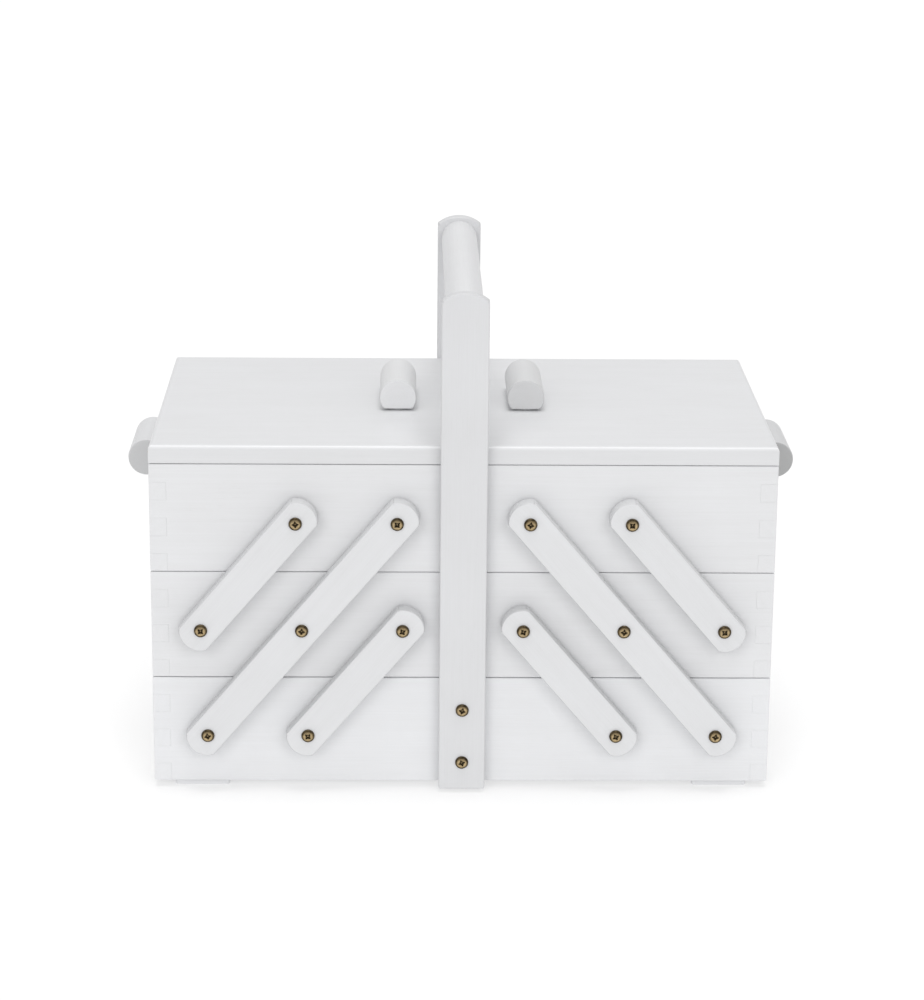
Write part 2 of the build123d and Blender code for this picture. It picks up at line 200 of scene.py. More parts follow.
def turned(profile, place, count=48):
    """Surface of revolution: each (radius, height) of the profile carried round the Z axis.

    Radius 0 at either end closes the surface in a pole; otherwise the profile is a closed ring.
    """
    profile = np.array(profile, float)
    closed_ring = profile[0, 0] > 0 and profile[-1, 0] > 0
    body = profile if closed_ring else profile[1:-1]
    angle = np.linspace(0, 2 * math.pi, count, endpoint=False)
    ring = np.stack([np.cos(angle), np.sin(angle)], -1)
    flat = body[:, None, :1] * ring[None]
    lift = np.broadcast_to(body[:, None, 1:], flat.shape[:2] + (1,))
    grid = np.concatenate([flat, lift], -1).reshape(-1, 3)
    faces = [quads(len(body), count)]
    last = (len(body) - 1) * count
    around = np.arange(count)
    after = (around + 1) % count
    if closed_ring:
        faces.append(np.stack([last + around, last + after, after, around], -1))
    else:
        low_pole, high_pole = len(grid), len(grid) + 1
        grid = np.concatenate([grid, [[0, 0, profile[0, 1]], [0, 0, profile[-1, 1]]]])
        faces.append(np.stack([after, around, np.full(count, low_pole)], -1))
        faces.append(np.stack([last + around, last + after, np.full(count, high_pole)], -1))
    return transform(grid, place), faces, np.zeros(len(grid))


def rounded_corner(radius, height, bend, rising):
    """Quarter-circle points (radius, height) that round a turned profile's outer corner.

    Rising, they lie bend (1 - sin a) inside the radius and bend (1 - cos a) above the height;
    otherwise they run the other way, below it.
    """
    angle = np.linspace(0, math.pi / 2, CORNER_STEPS)
    out, up = bend * (1 - np.sin(angle)), bend * (1 - np.cos(angle))
    if rising:
        return list(zip(radius - out, height + up))
    return list(zip(radius - out[::-1], height - up[::-1]))


def transform(points, place):
    """Points carried by a 4 x 4 placing matrix."""
    matrix = np.array(place)
    return points @ matrix[:3, :3].T + matrix[:3, 3]


def placed(origin, x_axis, z_axis):
    """Placing matrix from an origin, the direction of local X and the direction of local Z."""
    x_axis, z_axis = Vector(x_axis).normalized(), Vector(z_axis).normalized()
    y_axis = z_axis.cross(x_axis)
    columns = Matrix((x_axis, y_axis, z_axis)).transposed()
    return Matrix.Translation(Vector(origin)) @ columns.to_4x4()


def rectangle(width, depth, corner):
    """Arcs of a rectangle with rounded corners, about the origin."""
    x, y = width / 2 - corner, depth / 2 - corner
    signs = ((1, 1), (-1, 1), (-1, -1), (1, -1))
    return [(i * x, j * y, corner, 90 * k, 90 * (k + 1)) for k, (i, j) in enumerate(signs)]


# ---- screw heads ----------------------------------------------------------------------------
def cross_head(radius, height, place):
    """Domed head with a cross recess over a flat underside.

    A square grid is bent into a disc by x' = x sqrt(1 - y^2 / 2), y' = y sqrt(1 - x^2 / 2). Its
    height is a quarter-ellipse dome, less a recess that is deepest in the middle and shallower
    towards the tips of the cross. Patina is dark in the recess. A dark ring round it and the dark
    rim are painted reflections on the darkened brass, and the bright spot in the very middle is a
    painted highlight; the metal stays bright between them.
    """
    side, rim_height = 45, 0.28
    slot_half_width, slot_taper, slot_wall = 0.125, 0.06, 0.05
    slot_reach, slot_tip = 0.52, 0.07
    u = np.linspace(-1, 1, side)
    gx, gy = np.meshgrid(u, u, indexing="ij")
    x, y = gx * np.sqrt(1 - gy**2 / 2), gy * np.sqrt(1 - gx**2 / 2)
    out = np.clip(np.hypot(x, y), 0, 1)
    dome = rim_height + (1 - rim_height) * np.sqrt(np.clip(1 - out**2.4, 0, 1))
    far, near = np.maximum(abs(x), abs(y)), np.minimum(abs(x), abs(y))
    wall = np.clip((slot_half_width - slot_taper * far - near) / slot_wall, 0, 1)
    tip = np.clip((slot_reach - far) / slot_tip, 0, 1)
    inside = (wall * tip) ** 0.7
    depth = inside * (0.52 - 0.45 * far)
    top = np.stack([x * radius, y * radius, (dome - depth) * height], -1).reshape(-1, 3)
    rim_index = boundary(side)
    low_rim = top[rim_index] * [1, 1, 0]
    points = np.concatenate([top, low_rim])
    i, j = np.meshgrid(np.arange(side - 1), np.arange(side - 1), indexing="ij")
    this, following = i * side + j, (i + 1) * side + j
    cells = np.stack([this, following, following + 1, this + 1], -1).reshape(-1, 4)
    count = len(rim_index)
    low = side * side + np.arange(count)
    after = np.roll(np.arange(count), -1)
    skirt = np.stack([low, low[after], rim_index[after], rim_index], -1)
    faces = [cells, skirt, low[::-1][None]]
    # Dark ring and rim: painted reflections over patina. Bright middle: painted highlight.
    rim = np.clip((out - 0.60) / 0.22, 0, 1)
    around_recess = 0.75 * np.clip((0.45 - out) / 0.12, 0, 1)
    painted_glint = 1.3 * np.clip(1 - out / 0.15, 0, 1)
    patina_and_reflection = np.clip(np.maximum(1.1 * inside, around_recess) + 0.85 * rim - painted_glint, 0, 1).ravel()
    return transform(points, place), faces, np.concatenate([patina_and_reflection, np.full(count, 0.9)])


def boundary(side):
    """Indices round the edge of a square grid, counter-clockwise seen from above."""
    run = np.arange(side - 1)
    return np.concatenate([
        run * side, (side - 1) * side + run, (side - 1 - run) * side + side - 1, side - 1 - run
    ])


def shank(length, place):
    """Screw shank below Z = 0: a straight rod turned round Z, then a cone to its blunt tip."""
    cone, top = 2 * SHANK_RADIUS, -0.01 * MM
    profile = [(0, -length), (SHANK_RADIUS / 3, -length), (SHANK_RADIUS, cone - length),
               (SHANK_RADIUS, top), (0, top)]
    return turned(profile, place, 24)


def washer(thickness, place):
    """Flat ring with eased corners, its section turned round Z and standing on Z = 0."""
    inner = SHANK_RADIUS + WASHER_PLAY
    profile = (
        [(inner, 0)] + rounded_corner(WASHER_RADIUS, 0, WASHER_EDGE, True)
        + rounded_corner(WASHER_RADIUS, thickness, WASHER_EDGE, False) + [(inner, thickness)]
    )
    return turned(profile, place)


def pan_screw(point, normal, turn, length):
    """Cross-head screw whose head stands on a point, with the recess turned by an angle."""
    across = X if abs(normal.x) < 0.5 else Y
    place = placed(point, across, normal) @ Matrix.Rotation(math.radians(turn), 4, "Z")
    return [cross_head(HEAD_RADIUS, HEAD_HEIGHT, place), shank(length, place)]


# ---- pieces ---------------------------------------------------------------------------------
def make_piece(name, surfaces, material, body, nodes):
    """One object from closed surfaces; its attribute holds their points' marks and painted light.
    """
    vertices = np.concatenate([points for points, _, _ in surfaces])
    faces, start = [], 0
    for points, blocks, _ in surfaces:
        for block in blocks:
            faces += (block + start).tolist()
        start += len(points)
    mesh = bpy.data.meshes.new(name)
    mesh.from_pydata(vertices, [], faces)
    mesh.polygons.foreach_set("use_smooth", np.ones(len(mesh.polygons), bool))
    wear_and_painted_light = mesh.attributes.new("wear_and_painted_light", "FLOAT", "POINT")
    wear_and_painted_light.data.foreach_set("value", np.concatenate([w for _, _, w in surfaces]).astype(np.float32))
    mesh.materials.append(material)
    mesh.set_sharp_from_angle(angle=SHARP_EDGE)
    piece = bpy.data.objects.new(name, mesh)
    bpy.context.scene.collection.objects.link(piece)
    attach(piece, body)
    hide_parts(*nodes)


def middle(node):
    """Centre of a CAD node's box."""
    low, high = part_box(node)
    return (low + high) / 2


# ---- materials ------------------------------------------------------------------------------
FIBRE = (60 * MM, 1.1 * MM)      # length along the grain and width across it
PORE = (11 * MM, 0.55 * MM)
SCRATCH = (4 * MM, 0.1 * MM)
CLOUDS = 16.0                    # patches of thicker and thinner paint to a metre
ORANGE_PEEL = 700.0              # ripples of the paint's skin to a metre
BLOTCHES = 420.0                 # spots of tarnish to a metre
RINGS = 44.0                     # growth rings to a metre


def add_node(tree, kind, **settings):
    """Add a shader node; names of sockets set their values, other names set its properties."""
    node = tree.nodes.new(kind)
    for key, value in settings.items():
        if key in node.inputs:
            node.inputs[key].default_value = value
        else:
            setattr(node, key, value)
    return node


def blank_material(name):
    """New material; returns it, its tree and its shader."""
    material = bpy.data.materials.new(name)
    material.use_nodes = True
    tree = material.node_tree
    return material, tree, tree.nodes["Principled BSDF"]


def stretched(tree, coordinates, grain, length, width):
    """Coordinates measured in grain features: length along the grain and width across it."""
    mapping = add_node(tree, "ShaderNodeMapping", vector_type="TEXTURE")
    mapping.inputs["Rotation"].default_value = X.rotation_difference(Vector(grain)).to_euler()
    mapping.inputs["Scale"].default_value = (length, width, width)
    tree.links.new(coordinates, mapping.inputs["Vector"])
    return mapping.outputs["Vector"]


def math_node(tree, operation, first, second):
    """Scalar arithmetic; either input is a socket or a number."""
    node = add_node(tree, "ShaderNodeMath", operation=operation)
    for socket, value in zip(node.inputs, (first, second)):
        if isinstance(value, (int, float)):
            socket.default_value = value
        else:
            tree.links.new(value, socket)
    return node.outputs[0]


def weighted_sum(tree, *parts):
    """Sum of (value, weight) pairs."""
    total, *others = [math_node(tree, "MULTIPLY", value, weight) for value, weight in parts]
    for other in others:
        total = math_node(tree, "ADD", total, other)
    return total


def noise(tree, vector, scale, detail, roughness):
    """Value of a noise texture."""
    node = add_node(tree, "ShaderNodeTexNoise", Scale=scale, Detail=detail, Roughness=roughness)
    tree.links.new(vector, node.inputs["Vector"])
    return node.outputs["Fac"]


def remap(tree, value, low, high, to_low=0.0, to_high=1.0):
    """Value carried from one range to another, held at its ends."""
    node = add_node(tree, "ShaderNodeMapRange")
    ends = {"From Min": low, "From Max": high, "To Min": to_low, "To Max": to_high}
    for key, number in ends.items():
        node.inputs[key].default_value = number
    tree.links.new(value, node.inputs["Value"])
    return node.outputs["Result"]


def mix_color(tree, factor, first, second):
    """Mix of two colours or colour sockets."""
    node = add_node(tree, "ShaderNodeMix", data_type="RGBA")
    tree.links.new(factor, node.inputs["Factor"])
    for socket, value in ((node.inputs[6], first), (node.inputs[7], second)):
        if isinstance(value, tuple):
            socket.default_value = (*value, 1)
        else:
            tree.links.new(value, socket)
    return node.outputs[2]


def painted_wood(name, grain, paint, pore_depth=1.0, gloss=0.42, side_shade=0.0):
    """Satin white paint over open-grained wood whose fibres run along grain.

    Fibres, pores and growth rings are noise stretched along the grain, so a face cut across
    it shows end grain by itself. They stand in the bump and faintly in the colour; thicker
    and thinner paint shades the colour. A value stored on each point darkens the paint: a little
    on rounded edges where it is thin, and painted shade on the sides of the arms and, with
    end-grain soak, on the grips. The last argument is painted shade: how much darker faces are
    that look sideways.
    """
    material, tree, shader = blank_material(name)
    link = tree.links.new
    places = add_node(tree, "ShaderNodeTexCoord").outputs
    coordinates = places["Object"]
    fibres = noise(tree, stretched(tree, coordinates, grain, *FIBRE), 1.0, 4.0, 0.62)
    pore_field = noise(tree, stretched(tree, coordinates, grain, *PORE), 1.0, 2.0, 0.5)
    pores = remap(tree, pore_field, 0.60, 0.74)
    clouds = noise(tree, coordinates, CLOUDS, 3.0, 0.55)
    peel = noise(tree, coordinates, ORANGE_PEEL, 2.0, 0.5)
    rings = add_node(tree, "ShaderNodeTexWave", wave_type="RINGS", rings_direction="X",
                     Scale=RINGS, Distortion=5.0, Detail=2.0)
    rings.inputs["Detail Scale"].default_value = 0.9
    link(stretched(tree, coordinates, grain, 6.0, 1.0), rings.inputs["Vector"])
    bands = rings.outputs["Fac"]

    patchy = math_node(tree, "MULTIPLY", pores, remap(tree, clouds, 0.35, 0.65))
    thin = weighted_sum(tree, (remap(tree, fibres, 0.38, 0.66), 0.20), (patchy, 0.36),
                        (bands, 0.08), (remap(tree, clouds, 0.3, 0.7), 0.22))
    worn_and_shaded = add_node(tree, "ShaderNodeAttribute", attribute_name="wear_and_painted_light").outputs["Fac"]
    # Painted shade: the more a face looks sideways, the darker it is.
    if side_shade:
        facing = add_node(tree, "ShaderNodeSeparateXYZ")
        link(places["Normal"], facing.inputs[0])
        level = math_node(tree, "ABSOLUTE", facing.outputs["Z"], 0.0)
        worn_and_shaded = math_node(tree, "ADD", worn_and_shaded, remap(tree, level, 0.9, 0.3, 0.0, side_shade))
    shade = tuple(c * k for c, k in zip(paint, (0.90, 0.895, 0.885)))
    # Darker paint that wear and painted shade mix towards.
    soaked_and_shaded = tuple(c * k for c, k in zip(paint, (0.60, 0.60, 0.59)))
    coat = mix_color(tree, thin, paint, shade)
    link(mix_color(tree, worn_and_shaded, coat, soaked_and_shaded), shader.inputs["Base Color"])

    dull = weighted_sum(tree, (clouds, 0.14), (pores, 0.12))
    link(math_node(tree, "ADD", dull, gloss - 0.07), shader.inputs["Roughness"])

    relief = weighted_sum(tree, (fibres, 0.9), (pores, -0.55 * pore_depth), (bands, 0.18),
                          (peel, 0.12))
    bump = add_node(tree, "ShaderNodeBump", Strength=0.28, Distance=0.00016)
    link(relief, bump.inputs["Height"])
    link(bump.outputs["Normal"], shader.inputs["Normal"])
    return material


def antique_brass(name, bright):
    """Brass that has gone dark in its recesses and keeps fine scratches where it is rubbed.

    Tarnish is the piece's attribute and blotches of noise; it darkens and dulls the metal.
    Patina makes up the attribute, with painted reflections and a painted highlight on screw
    heads. Scratches are noise stretched along one direction, in the roughness and the bump.
    """
    material, tree, shader = blank_material(name)
    link = tree.links.new
    coordinates = add_node(tree, "ShaderNodeTexCoord").outputs["Object"]
    blotches = noise(tree, coordinates, BLOTCHES, 4.0, 0.6)
    scratches = noise(tree, stretched(tree, coordinates, (0.4, 1, 0.2), *SCRATCH), 1.0, 3.0, 0.6)
    # On screw heads the attribute also holds painted reflections and a painted highlight.
    recess = add_node(tree, "ShaderNodeAttribute", attribute_name="wear_and_painted_light").outputs["Fac"]
    tarnish_and_reflection = math_node(tree, "ADD", recess, remap(tree, blotches, 0.38, 0.80, 0.0, 0.42))
    tarnish_and_reflection = remap(tree, tarnish_and_reflection, 0.0, 1.05)
    link(mix_color(tree, tarnish_and_reflection, bright, DARK_BRASS), shader.inputs["Base Color"])
    shader.inputs["Metallic"].default_value = 1.0
    rough = weighted_sum(tree, (tarnish_and_reflection, 0.28), (scratches, 0.16))
    link(math_node(tree, "ADD", rough, 0.14), shader.inputs["Roughness"])
    bump = add_node(tree, "ShaderNodeBump", Strength=0.25, Distance=0.00003)
    link(math_node(tree, "ADD", scratches, blotches), bump.inputs["Height"])
    link(bump.outputs["Normal"], shader.inputs["Normal"])
    return material


# Whites of the paint, from the darkest to the lightest, and the metals. The knobs' white is
# the lightest: painted light that makes up for light on them.
DARKEST_WHITE = (0.676, 0.680, 0.693)
ARM_WHITE = (0.703, 0.708, 0.721)
WHITE = (0.735, 0.739, 0.752)
COOL_WHITE = (0.747, 0.752, 0.766)
BASE_WHITE = (0.765, 0.771, 0.787)
LIT_KNOB_WHITE = (0.84, 0.844, 0.856)
SCREW_BRASS = (0.52, 0.395, 0.22)
HINGE_BRASS = (0.80, 0.61, 0.31)
DARK_BRASS = (0.06, 0.045, 0.026)

long_grain = painted_wood("paint_over_long_boards", X, WHITE)
base_grain = painted_wood("paint_over_base_boards", X, BASE_WHITE)
end_grain = painted_wood("paint_over_end_boards", Y, WHITE)
upright_grain = painted_wood("paint_over_uprights", Z, DARKEST_WHITE, pore_depth=1.5)
dowel_grain = painted_wood("paint_over_dowels", Y, WHITE, gloss=0.46)
# The knobs' lightest white is painted light.
knob_grain = painted_wood("paint_over_lid_knobs", Y, LIT_KNOB_WHITE, gloss=0.46)
base_end_grain = painted_wood("paint_over_base_ends", Y, BASE_WHITE)
# The lids' sides are darker than their tops as painted shade.
lid_grain = painted_wood("paint_over_lids", X, COOL_WHITE, gloss=0.32, side_shade=0.17)
panel_grain = painted_wood("paint_over_bottom_panels", X, DARKEST_WHITE, gloss=0.55)
foot_grain = painted_wood("paint_over_feet", X, BASE_WHITE, gloss=0.5)
screw_brass = antique_brass("antique_brass_screws", SCREW_BRASS)
hinge_brass = antique_brass("tarnished_brass_hinges", HINGE_BRASS)


# ---- boards that keep their CAD shape -------------------------------------------------------
def finish_node(node, material):
    """Give a CAD node its material."""
    for holder in frame["nodes"][node].material_slots:
        holder.material = material


def finish_tray(tray, ends, board_paint, end_paint):
    """Give the boards and the bottom panel of one tray their materials."""
    for face, _ in FACES:
        finish_node(f"{tray}_{face}_board", board_paint)
    for end in ends:
        finish_node(f"{tray}_{end}_end", end_paint)
    finish_node(f"{tray}_bottom_panel", panel_grain)


finish_tray("base", ("left", "right"), base_grain, base_end_grain)
for side, _ in SIDES:
    for tier in ("middle", "top"):
        finish_tray(f"{side}_{tier}", ("outer", "inner"), long_grain, end_grain)
    finish_node(f"{side}_lid", lid_grain)

# ---- pivots, read from the joints -----------------------------------------------------------
joint_at = {joint["name"]: Vector(joint["pos_m"]) for joint in frame["joints"]}


def pivots_of(side):
    """Pivots of one half by tray, from the outermost inward. The free one of each short arm
    follows from the parallelogram of the arms."""
    base_outer = joint_at[f"{side}_spread"]
    base_inner = joint_at[f"{side}_lower_arm_pivot"]
    middle_outer = joint_at[f"{side}_upper_arm_pivot"]
    middle_centre = joint_at[f"{side}_middle_tray_pivot"]
    top_inner = joint_at[f"{side}_top_tray_pivot"]
    middle_inner = base_inner + middle_centre - base_outer
    top_outer = middle_outer + top_inner - middle_centre
    return {
        "base": [base_outer, base_inner],
        "middle": [middle_outer, middle_centre, middle_inner],
        "top": [top_outer, top_inner],
    }


# ---- link arms ------------------------------------------------------------------------------
def arm_arcs(reach):
    """Outline of an arm along X whose pivots lie at -reach and +reach: end arcs about the
    pivots, eased into the straight edges."""
    rise = ARM_WIDTH / 2 - ARM_CORNER
    run = math.sqrt((ARM_END_RADIUS - ARM_CORNER) ** 2 - rise**2)
    meet = math.degrees(math.atan2(rise, run))
    return [
        (reach, 0, ARM_END_RADIUS, -meet, meet),
        (reach + run, rise, ARM_CORNER, meet, 90),
        (-reach - run, rise, ARM_CORNER, 90, 180 - meet),
        (-reach, 0, ARM_END_RADIUS, 180 - meet, 180 + meet),
        (-reach - run, -rise, ARM_CORNER, 180 + meet, 270),
        (reach + run, -rise, ARM_CORNER, 270, 360 - meet),
    ]


for side, _ in SIDES:
    pivots = pivots_of(side)
    arm_grain = painted_wood(f"paint_over_{side}_arms", pivots["top"][1] - pivots["base"][0],
                             ARM_WHITE, pore_depth=1.3)
    runs = {
        "long_arm": (pivots["base"][0], pivots["top"][1], "long_arms"),
        "lower_arm": (pivots["base"][1], pivots["middle"][2], "lower_arms"),
        "upper_arm": (pivots["middle"][0], pivots["top"][0], "upper_arms"),
    }
    for face, sign in FACES:
        for kind, (low, high, body) in runs.items():
            node = f"{side}_{face}_{kind}"
            corner_low, corner_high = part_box(node)
            back = corner_high.y if sign < 0 else corner_low.y
            centre = (low + high) / 2 + Y * back
            place = placed(centre, high - low, Y * sign)
            # The arms' sides are darkened as painted shade, with a little thinner paint.
            arm = plate(arm_arcs((high - low).length / 2), corner_high.y - corner_low.y,
                        ARM_EDGE, ARM_EDGE, place, side_wear_and_shade=ARM_SIDE_SHADE_AND_WEAR)
            make_piece(f"{node}_painted", [arm], arm_grain, f"{side}_{body}", [node])

# ---- carry frame ----------------------------------------------------------------------------
for face, sign in FACES:
    node = f"{face}_upright"
    low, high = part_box(node)
    half = (high.x - low.x) / 2
    crown = (half**2 + UPRIGHT_SHOULDER**2) / (2 * UPRIGHT_SHOULDER)
    crown_z = high.z - crown
    run = half - UPRIGHT_CORNER
    rise = math.sqrt((crown - UPRIGHT_CORNER) ** 2 - run**2)
    meet = math.degrees(math.atan2(rise, run))
    foot = low.z + UPRIGHT_CORNER
    arcs = [
        (run, crown_z + rise, UPRIGHT_CORNER, 0, meet),
        (0, crown_z, crown, meet, 180 - meet),
        (-run, crown_z + rise, UPRIGHT_CORNER, 180 - meet, 180),
        (-run, foot, UPRIGHT_CORNER, 180, 270),
        (run, foot, UPRIGHT_CORNER, 270, 360),
    ]
    inner = high.y if sign < 0 else low.y
    place = placed((0, inner, 0), X * -sign, Y * sign)
    surface = plate(arcs, high.y - low.y, UPRIGHT_EDGE, UPRIGHT_EDGE, place)
    make_piece(f"{node}_painted", [surface], upright_grain, "base", [node])

bar_low, bar_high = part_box("carry_bar")
bar_radius = (bar_high.x - bar_low.x) / 2
bar_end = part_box("front_upright")[1].y
bar_profile = (
    [(0, bar_end)] + rounded_corner(bar_radius, bar_end, BAR_EDGE, True)
    + [(bar_radius, y) for y in np.linspace(bar_end, -bar_end, 9)[1:-1]]
    + rounded_corner(bar_radius, -bar_end, BAR_EDGE, False) + [(0, -bar_end)]
)
bar_place = placed((0, 0, middle("carry_bar").z), X, Y)
make_piece("carry_bar_painted", [turned(bar_profile, bar_place, 96)], dowel_grain, "base",
           ["carry_bar"])

foot_low, foot_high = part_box("feet")
foot_x, foot_y = foot_high.x - FOOT_SIZE / 2, foot_high.y - FOOT_SIZE / 2
foot_arcs = rectangle(FOOT_SIZE, FOOT_SIZE, FOOT_CORNER)
feet = [
    plate(foot_arcs, foot_high.z - foot_low.z, FOOT_LOW_EDGE, FOOT_HIGH_EDGE,
          placed((i * foot_x, j * foot_y, foot_low.z), X, Z))
    for i in (-1, 1) for j in (-1, 1)
]
make_piece("feet_painted", feet, foot_grain, "base", ["feet"])


# ---- grips ----------------------------------------------------------------------------------
def grip(seat, along, out, length, soaked_and_shaded, rubbed_and_shaded):
    """Flat-backed dowel on two round spacers: a D-shaped outline carried along its length.

    seat is the point under its middle, along the direction of its length and out the direction
    in which it stands off. The last two arguments darken its ends and round its sides: partly
    paint sunk into the end grain and thin round the sides, partly painted shade.
    """
    across = along.cross(out)
    axis = Vector(seat) + out * (SPACER_HEIGHT + GRIP_FLAT)
    rise = GRIP_CORNER - GRIP_FLAT
    run = math.sqrt((GRIP_RADIUS - GRIP_CORNER) ** 2 - rise**2)
    meet = math.degrees(math.atan2(rise, run))
    arcs = [
        (run, rise, GRIP_CORNER, -90, meet),
        (0, 0, GRIP_RADIUS, meet, 180 - meet),
        (-run, rise, GRIP_CORNER, 180 - meet, 270),
    ]
    place = placed(axis - along * length / 2, -across, along)
    surfaces = [plate(arcs, length, GRIP_EDGE, GRIP_EDGE, place, soaked_and_shaded, rubbed_and_shaded)]
    profile = (
        [(0, 0)] + rounded_corner(SPACER_RADIUS, 0, SPACER_EDGE, True)
        + rounded_corner(SPACER_RADIUS, SPACER_HEIGHT, SPACER_EDGE, False) + [(0, SPACER_HEIGHT)]
    )
    for end in (-1, 1):
        centre = Vector(seat) + along * end * (length / 2 - SPACER_INSET)
        surfaces.append(turned(profile, placed(centre, along, out), 64))
    return surfaces


for side, sign in SIDES:
    low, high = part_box(f"{side}_lid_knob")
    seat = ((low.x + high.x) / 2, 0, low.z)
    # The knob's ends and sides are darkened: end-grain soak and painted shade.
    soaked_and_shaded, rubbed_and_shaded = KNOB_SOAK_AND_SHADE[side]
    knob = grip(seat, Y, Z, high.y - low.y, soaked_and_shaded, rubbed_and_shaded)
    make_piece(f"{side}_lid_knob_painted", knob, knob_grain, f"{side}_lid",
               [f"{side}_lid_knob"])
    low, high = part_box(f"{side}_side_handle")
    seat = (low.x if sign > 0 else high.x, 0, (low.z + high.z) / 2)
    # The handle's ends and sides are darkened: end-grain soak and painted shade.
    soaked_and_shaded, rubbed_and_shaded = HANDLE_SOAK_AND_SHADE[side]
    handle = grip(seat, Y, X * sign, high.y - low.y, soaked_and_shaded, rubbed_and_shaded)
    make_piece(f"{side}_side_handle_painted", handle, dowel_grain, f"{side}_top_tray",
               [f"{side}_side_handle"])


# ---- screws ---------------------------------------------------------------------------------
def pivot_screws(pivots, side, tray, first_turn):
    """Screws through the arms into both faces of one tray half, and the washer behind each arm."""
    surfaces = []
    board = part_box("base_front_board" if tray == "base" else f"{side}_{tray}_front_board")
    arm_low, arm_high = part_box(f"{side}_front_long_arm")
    face, back, front = -board[0].y, -arm_high.y, -arm_low.y
    for index, pivot in enumerate(pivots):
        for spot, sign in enumerate((-1, 1)):
            turn = first_turn + 37 * index + 61 * spot
            head = Vector((pivot.x, sign * (front + HEAD_PLAY), pivot.z))
            surfaces += pan_screw(head, Y * sign, turn, front - face + HEAD_PLAY + THREAD)
            ring_place = placed((pivot.x, sign * face, pivot.z), X, Y * sign)
            surfaces.append(washer(back - face, ring_place))
    return surfaces


def hinge_places(side):
    """Centre of one side's hinge pins, and the middle of each of its two hinges along Y."""
    low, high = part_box(f"{side}_hinge_pins")
    return (low + high) / 2, (low.y + HINGE_LENGTH / 2, high.y - HINGE_LENGTH / 2)


def leaf_screws(side_sign, pin, half, ends):
    """Countersunk hinge screws, nearly flush with the leaves of one half."""
    inward = (LEAF_NEAR + LEAF_REACH) / 2
    surfaces = []
    for index, end in enumerate(ends):
        for spot, step in enumerate((-1, 1)):
            point = Vector((pin.x - side_sign * inward, end + step * LEAF_SCREW_STEP,
                            pin.z - half * LEAF_GAP))
            place = placed(point, X, Z * half)
            place = place @ Matrix.Rotation(math.radians(25 + 50 * index + 80 * spot), 4, "Z")
            surfaces.append(cross_head(LEAF_HEAD_RADIUS, LEAF_HEAD_HEIGHT, place))
    return surfaces


base_surfaces = []
for number, (side, sign) in enumerate(SIDES):
    base_surfaces += pivot_screws(pivots_of(side)["base"], side, "base", 12 + 70 * number)
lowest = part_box("base_screws")[0].z + HEAD_RADIUS
for number, (face, sign) in enumerate(FACES):
    low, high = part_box(f"{face}_upright")
    outer = low.y if sign < 0 else high.y
    for step, z in enumerate((lowest, lowest + UPRIGHT_SCREW_STEP)):
        base_surfaces += pan_screw((0, outer, z), Y * sign, 20 + 55 * step + 31 * number,
                                   high.y - low.y + THREAD)
make_piece("base_screws_brass", base_surfaces, screw_brass, "base",
           ["base_screws"])

for number, (side, sign) in enumerate(SIDES):
    pivots = pivots_of(side)
    middle_surfaces = pivot_screws(pivots["middle"], side, "middle", 48 + 90 * number)
    make_piece(f"{side}_middle_screws_brass", middle_surfaces, screw_brass, f"{side}_middle_tray",
               [f"{side}_middle_screws"])

    pin, ends = hinge_places(side)
    grip_low, grip_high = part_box(f"{side}_side_handle")
    reach = (grip_high.y - grip_low.y) / 2 - SPACER_INSET
    wall_low, wall_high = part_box(f"{side}_top_outer_end")
    inner = wall_low.x if sign > 0 else wall_high.x
    top_surfaces = pivot_screws(pivots["top"], side, "top", 5 + 40 * number)
    for step, y in enumerate((-reach, reach)):
        head = Vector((inner, y, (grip_low.z + grip_high.z) / 2))
        length = wall_high.x - wall_low.x + SPACER_HEIGHT + THREAD
        top_surfaces += pan_screw(head, X * -sign, 15 + 66 * step, length)
    top_surfaces += leaf_screws(sign, pin, 1, ends)
    make_piece(f"{side}_top_screws_brass", top_surfaces, screw_brass, f"{side}_top_tray",
               [f"{side}_top_screws"])

    knob_low, knob_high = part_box(f"{side}_lid_knob")
    lid_low, lid_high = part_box(f"{side}_lid")
    lid_surfaces = []
    for step, y in enumerate((-reach, reach)):
        head = Vector(((knob_low.x + knob_high.x) / 2, y, lid_low.z))
        length = lid_high.z - lid_low.z + SPACER_HEIGHT + THREAD
        lid_surfaces += pan_screw(head, -Z, 33 + 71 * step, length)
    lid_surfaces += leaf_screws(sign, pin, -1, ends)
    make_piece(f"{side}_lid_screws_brass", lid_surfaces, screw_brass, f"{side}_lid",
               [f"{side}_lid_screws"])


